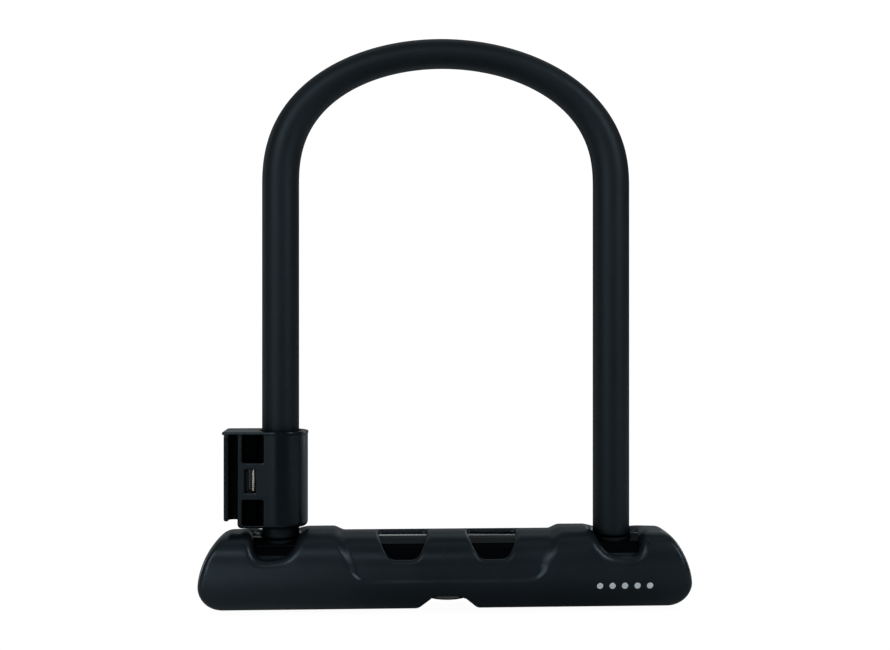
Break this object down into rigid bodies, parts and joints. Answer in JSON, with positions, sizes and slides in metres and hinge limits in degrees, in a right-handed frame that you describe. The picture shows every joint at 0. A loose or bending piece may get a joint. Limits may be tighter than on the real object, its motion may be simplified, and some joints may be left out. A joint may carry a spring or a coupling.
{
  "type": "u lock",
  "caption": "Bicycle U lock: coated steel shackle, crossbar with two sight windows and a key cylinder driving two sliding bolts, and a clamp-on carrying bracket with a T rail.",
  "frame": {"origin": "centre of the crossbar's underside", "axes": "+X along the crossbar, +Z from the crossbar towards the shackle's crown, -Y the side with the windows"},
  "size_m": [0.2464, 0.038, 0.2852],
  "materials": {
    "satin_black_plastic": "satin moulded, fine grain",
    "black_vinyl": "smooth soft vinyl, low sheen",
    "hard_steel": "ground and oiled",
    "black_coated_steel": "gloss black coating",
    "zinc_steel": "zinc plated",
    "soft_black_rubber": "matt",
    "black_bezel": "semi-gloss",
    "lock_brass": "machined",
    "bright_steel": "bright",
    "black_latch_plastic": "satin"
  },
  "bodies": {
    "crossbar": {"housing_tube": "black_coated_steel", "end_plug_left": "hard_steel", "end_plug_right": "hard_steel", "cover_left": "satin_black_plastic", "cover_right": "satin_black_plastic", "keyhole_bezel": "black_bezel", "cylinder_body": "lock_brass", "rotor_retainer": "bright_steel", "cylinder_pin": "bright_steel", "bolt_guide_left": "zinc_steel", "bolt_guide_right": "zinc_steel", "foot_socket_left": "zinc_steel", "foot_socket_right": "zinc_steel", "foot_seal_left": "soft_black_rubber", "foot_seal_right": "soft_black_rubber"},
    "shackle": {"shackle_core": "hard_steel", "shackle_sleeve": "black_vinyl"},
    "liner": {"bracket_liner": "soft_black_rubber"},
    "bracket": {"bracket_body": "satin_black_plastic", "clamp_screw": "bright_steel", "clamp_nut": "zinc_steel", "latch_pin": "bright_steel", "latch_spring": "bright_steel"},
    "latch": {"latch_lever": "black_latch_plastic"},
    "rotor": {"rotor": "lock_brass", "drill_guard": "bright_steel", "detainer_discs": "lock_brass", "spacer_washers": "bright_steel", "sidebar": "bright_steel", "drive_cam": "hard_steel"},
    "left_bolt": {"bolt_left": "hard_steel", "drive_pin_left": "bright_steel"},
    "right_bolt": {"bolt_right": "hard_steel", "drive_pin_right": "bright_steel"}
  },
  "joints": [
    {"name": "shackle_slide", "type": "slide", "parent": "crossbar", "child": "shackle", "axis": [0, 0, 1], "range_m": [0, 0.06]},
    {"name": "bracket_slide", "type": "slide", "parent": "shackle", "child": "liner", "axis": [0, 0, 1], "range_m": [0, 0.12]},
    {"name": "bracket_turn", "type": "hinge", "parent": "liner", "child": "bracket", "pos_m": [-0.0832, 0, 0.065], "axis": [0, 0, 1], "range_deg": [-90, 90]},
    {"name": "latch_press", "type": "hinge", "parent": "bracket", "child": "latch", "pos_m": [-0.0956, -0.0085, 0.065], "axis": [0, 0, -1], "range_deg": [0, 9]},
    {"name": "key_turn", "type": "hinge", "parent": "crossbar", "child": "rotor", "pos_m": [0, 0, 0.013], "axis": [0, 0, 1], "range_deg": [0, 90]},
    {"name": "left_bolt_slide", "type": "slide", "parent": "crossbar", "child": "left_bolt", "axis": [-1, 0, 0], "range_m": [0, 0.0042]},
    {"name": "right_bolt_slide", "type": "slide", "parent": "crossbar", "child": "right_bolt", "axis": [1, 0, 0], "range_m": [0, 0.0042]}
  ],
  "couplings": [
    {"joint": "key_turn", "follows": "left_bolt_slide", "rad_per_m": 374},
    {"joint": "right_bolt_slide", "follows": "left_bolt_slide", "ratio": 1}
  ]
}
